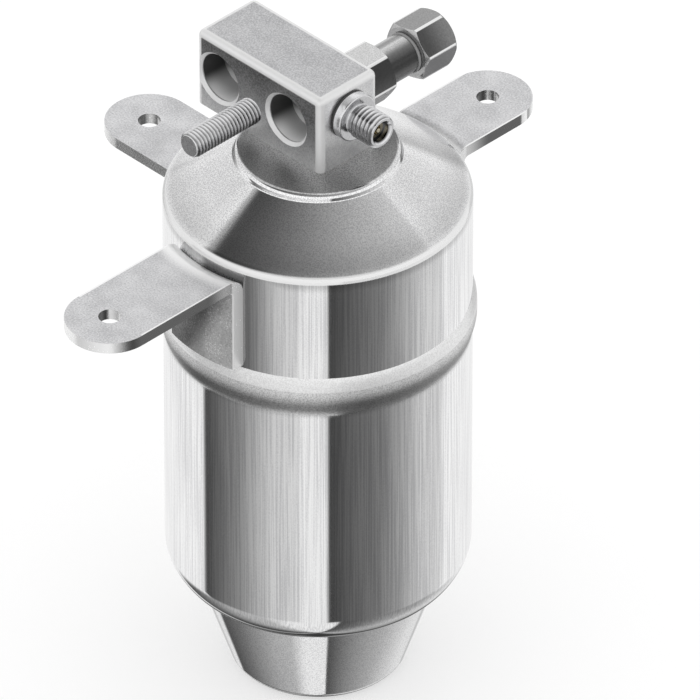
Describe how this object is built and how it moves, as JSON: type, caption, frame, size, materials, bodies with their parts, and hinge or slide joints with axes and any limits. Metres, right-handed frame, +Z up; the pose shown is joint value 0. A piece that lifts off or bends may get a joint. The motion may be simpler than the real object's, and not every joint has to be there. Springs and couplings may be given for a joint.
{
  "type": "filter drier",
  "caption": "Upright pressed-steel refrigerant filter drier with a machined port block, clamp stud, switch nipple, capped service valve and bracket tabs.",
  "frame": {"origin": "on the can's axis at the flat foot of the sump, which the drier stands on", "axes": "+Z up along the can's axis, the two refrigerant ports and the clamp stud face -Y, the switch nipple faces +X and the service valve faces +Y"},
  "size_m": [0.1282, 0.177, 0.2064],
  "materials": {
    "can_steel": "bright drawn sheet",
    "weld_steel": "dressed weld",
    "block_alloy": "fine bead-blasted",
    "bracket_steel": "zinc plated, fine grained",
    "fitting_steel": "turned",
    "cap_steel": "turned, dark plated",
    "core_brass": "turned",
    "spring_steel": "drawn wire",
    "seal_rubber": "moulded",
    "inner_steel": "punched sheet",
    "filter_felt": "needled felt",
    "desiccant_beads": "packed beads"
  },
  "bodies": {
    "housing": {"lower_shell": "can_steel", "upper_shell": "can_steel", "seam_weld": "weld_steel", "connector_block": "block_alloy", "passage_plug": "block_alloy", "front_bracket_tab": "bracket_steel", "front_bracket_leg": "bracket_steel", "left_bracket_tab": "bracket_steel", "left_bracket_leg": "bracket_steel", "rear_bracket_tab": "bracket_steel", "rear_bracket_leg": "bracket_steel", "clamp_stud": "fitting_steel", "switch_nipple": "fitting_steel", "service_valve_body": "cap_steel", "switch_core_barrel": "core_brass", "service_core_barrel": "core_brass", "switch_core_spring": "spring_steel", "service_core_spring": "spring_steel", "pack_spring": "spring_steel", "switch_washer": "seal_rubber", "service_washer": "seal_rubber", "tube_seal": "seal_rubber", "pickup_tube": "inner_steel", "tube_strainer": "inner_steel", "lower_plate": "inner_steel", "upper_plate": "inner_steel", "lower_pad": "filter_felt", "upper_pad": "filter_felt", "desiccant": "desiccant_beads"},
    "switch_pin": {"switch_core_pin": "core_brass", "switch_core_seal": "seal_rubber"},
    "service_pin": {"service_core_pin": "core_brass", "service_core_seal": "seal_rubber"},
    "cap_gasket": {"service_cap_gasket": "seal_rubber"},
    "service_cap": {"service_cap": "cap_steel"}
  },
  "joints": [
    {"name": "switch_pin_slide", "type": "slide", "parent": "housing", "child": "switch_pin", "axis": [-1, 0, 0], "range_m": [0, 0.0015], "stiffness_N_per_m": 400, "springref_m": -0.003, "deforming": ["switch_core_spring"]},
    {"name": "service_pin_slide", "type": "slide", "parent": "housing", "child": "service_pin", "axis": [0, -1, 0], "range_m": [0, 0.0015], "stiffness_N_per_m": 400, "springref_m": -0.003, "deforming": ["service_core_spring"]},
    {"name": "cap_lift", "type": "slide", "parent": "housing", "child": "cap_gasket", "axis": [0, 1, 0], "range_m": [0, 0.0088]},
    {"name": "cap_turn", "type": "hinge", "parent": "cap_gasket", "child": "service_cap", "pos_m": [-0.0034, 0.0136, 0.1926], "axis": [0, 1, 0], "range_deg": [0, 2520]}
  ],
  "couplings": [
    {"joint": "cap_lift", "follows": "cap_turn", "m_per_rad": 0.00019894}
  ]
}
